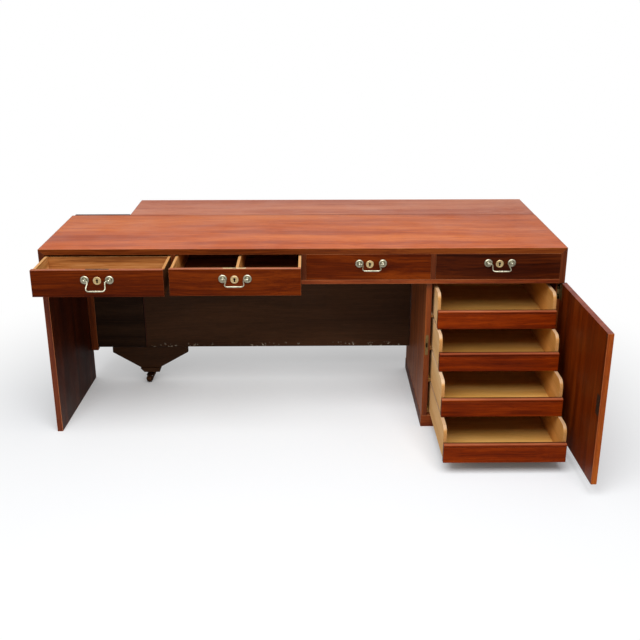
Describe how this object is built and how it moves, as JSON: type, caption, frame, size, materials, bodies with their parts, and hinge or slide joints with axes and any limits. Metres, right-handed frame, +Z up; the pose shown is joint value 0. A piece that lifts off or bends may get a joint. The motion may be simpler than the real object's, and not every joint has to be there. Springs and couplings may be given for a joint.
{
  "type": "campaign desk",
  "caption": "Long mahogany campaign desk: a row of drawers over an open kneehole, a pedestal with pull-out trays behind a door, and a rear leaf that swings out on a castor",
  "frame": {"origin": "on the floor, under the middle of the whole desk as it stands in the stored pose: first two drawers and the trays drawn out, door open, rear leaf closed", "axes": "+X to the right along the desk's length, +Y from the sitter's side to the back, +Z up"},
  "size_m": [2.024, 1.365, 0.762],
  "materials": {
    "mahogany_top": "light orange-red mahogany, polished, reflecting the room",
    "mahogany_front": "dark red-brown mahogany, polished, fine level grain",
    "mahogany_edge": "orange-brown mahogany edges and end panels, polished",
    "mahogany_dark": "dark mahogany, polished",
    "back_board_dark": "near-black stained softwood, dull",
    "oak_light": "light oak, unpolished inside the drawers and trays",
    "brass": "old yellow brass, softly polished",
    "pull_metal": "silvery worn cast metal with greenish hollows",
    "iron_dark": "dark browned iron"
  },
  "bodies": {
    "carcass": {"top_board": "mahogany_top", "case_ends": "mahogany_edge", "case_bottom_board": "mahogany_dark", "case_dividers": "mahogany_edge", "case_back_board": "back_board_dark", "rear_rail": "back_board_dark", "left_leg_panel": "mahogany_edge", "left_rear_stile": "mahogany_edge", "short_back_board": "back_board_dark", "pedestal_sides": "mahogany_edge", "pedestal_plinth": "mahogany_dark", "pedestal_bottom_panel": "oak_light", "pedestal_back_board": "back_board_dark", "pedestal_ledge": "mahogany_dark", "tray_runners": "oak_light", "strike_plate": "brass", "door_hinge_fixed": "brass", "pivot_bracket": "iron_dark"},
    "drawer_1": {"drawer_1_front": "mahogany_front", "drawer_1_box": "oak_light", "drawer_1_lock": "brass", "drawer_1_pull_posts": "pull_metal"},
    "bail_1": {"drawer_1_bail": "pull_metal"},
    "drawer_2": {"drawer_2_front": "mahogany_front", "drawer_2_box": "oak_light", "drawer_2_lock": "brass", "drawer_2_pull_posts": "pull_metal"},
    "bail_2": {"drawer_2_bail": "pull_metal"},
    "drawer_3": {"drawer_3_front": "mahogany_front", "drawer_3_box": "oak_light", "drawer_3_lock": "brass", "drawer_3_pull_posts": "pull_metal"},
    "bail_3": {"drawer_3_bail": "pull_metal"},
    "drawer_4": {"drawer_4_front": "mahogany_front", "drawer_4_box": "oak_light", "drawer_4_lock": "brass", "drawer_4_pull_posts": "pull_metal"},
    "bail_4": {"drawer_4_bail": "pull_metal"},
    "tray_1": {"tray_1_front": "mahogany_front", "tray_1_box": "oak_light"},
    "tray_2": {"tray_2_front": "mahogany_front", "tray_2_box": "oak_light"},
    "tray_3": {"tray_3_front": "mahogany_front", "tray_3_box": "oak_light"},
    "tray_4": {"tray_4_front": "mahogany_front", "tray_4_box": "oak_light"},
    "door": {"door_panel": "mahogany_dark", "door_lipping": "mahogany_edge", "door_lock": "iron_dark", "door_hinge_moving": "brass"},
    "rear_leaf": {"leaf_board": "mahogany_top", "leaf_posts": "mahogany_dark", "leaf_apron": "mahogany_dark", "long_back_board": "back_board_dark", "castor_bracket": "mahogany_dark", "pivot_block": "mahogany_dark", "castor_plate": "iron_dark"},
    "castor_swivel": {"castor_fork": "iron_dark"},
    "castor_roller": {"castor_wheel": "iron_dark"}
  },
  "joints": [
    {"name": "drawer_1_slide", "type": "slide", "parent": "carcass", "child": "drawer_1", "axis": [0, -1, 0], "range_m": [-0.193, 0.12]},
    {"name": "drawer_2_slide", "type": "slide", "parent": "carcass", "child": "drawer_2", "axis": [0, -1, 0], "range_m": [-0.185, 0.128]},
    {"name": "drawer_3_slide", "type": "slide", "parent": "carcass", "child": "drawer_3", "axis": [0, -1, 0], "range_m": [0, 0.313]},
    {"name": "drawer_4_slide", "type": "slide", "parent": "carcass", "child": "drawer_4", "axis": [0, -1, 0], "range_m": [0, 0.313]},
    {"name": "bail_1_swing", "type": "hinge", "parent": "drawer_1", "child": "bail_1", "pos_m": [-0.75187, -0.3585, 0.703], "axis": [-1, 0, 0], "range_deg": [-55, 40]},
    {"name": "bail_2_swing", "type": "hinge", "parent": "drawer_2", "child": "bail_2", "pos_m": [-0.25862, -0.3505, 0.703], "axis": [-1, 0, 0], "range_deg": [-81, 14]},
    {"name": "bail_3_swing", "type": "hinge", "parent": "drawer_3", "child": "bail_3", "pos_m": [0.24363, -0.1655, 0.703], "axis": [-1, 0, 0], "range_deg": [-81, 14]},
    {"name": "bail_4_swing", "type": "hinge", "parent": "drawer_4", "child": "bail_4", "pos_m": [0.73388, -0.1655, 0.703], "axis": [-1, 0, 0], "range_deg": [-74, 21]},
    {"name": "tray_1_slide", "type": "slide", "parent": "carcass", "child": "tray_1", "axis": [0, -1, 0], "range_m": [-0.4, 0.03]},
    {"name": "tray_2_slide", "type": "slide", "parent": "carcass", "child": "tray_2", "axis": [0, -1, 0], "range_m": [-0.3, 0.13]},
    {"name": "tray_3_slide", "type": "slide", "parent": "carcass", "child": "tray_3", "axis": [0, -1, 0], "range_m": [-0.195, 0.235]},
    {"name": "tray_4_slide", "type": "slide", "parent": "carcass", "child": "tray_4", "axis": [0, -1, 0], "range_m": [-0.11, 0.32]},
    {"name": "door_hinge", "type": "hinge", "parent": "carcass", "child": "door", "pos_m": [0.982, -0.1295, 0.33], "axis": [0, 0, 1], "range_deg": [-4, 32]},
    {"name": "leaf_swing", "type": "hinge", "parent": "carcass", "child": "rear_leaf", "pos_m": [0.974, 0.4515, 0.7], "axis": [0, 0, -1], "range_deg": [0, 90]},
    {"name": "castor_swivel_turn", "type": "hinge", "parent": "rear_leaf", "child": "castor_swivel", "pos_m": [-0.71, 0.3775, 0.036], "axis": [0, 0, 1], "continuous": true},
    {"name": "castor_wheel_spin", "type": "hinge", "parent": "castor_swivel", "child": "castor_roller", "pos_m": [-0.71873, 0.33642, 0.015], "axis": [0.9781, -0.2079, 0], "continuous": true}
  ]
}
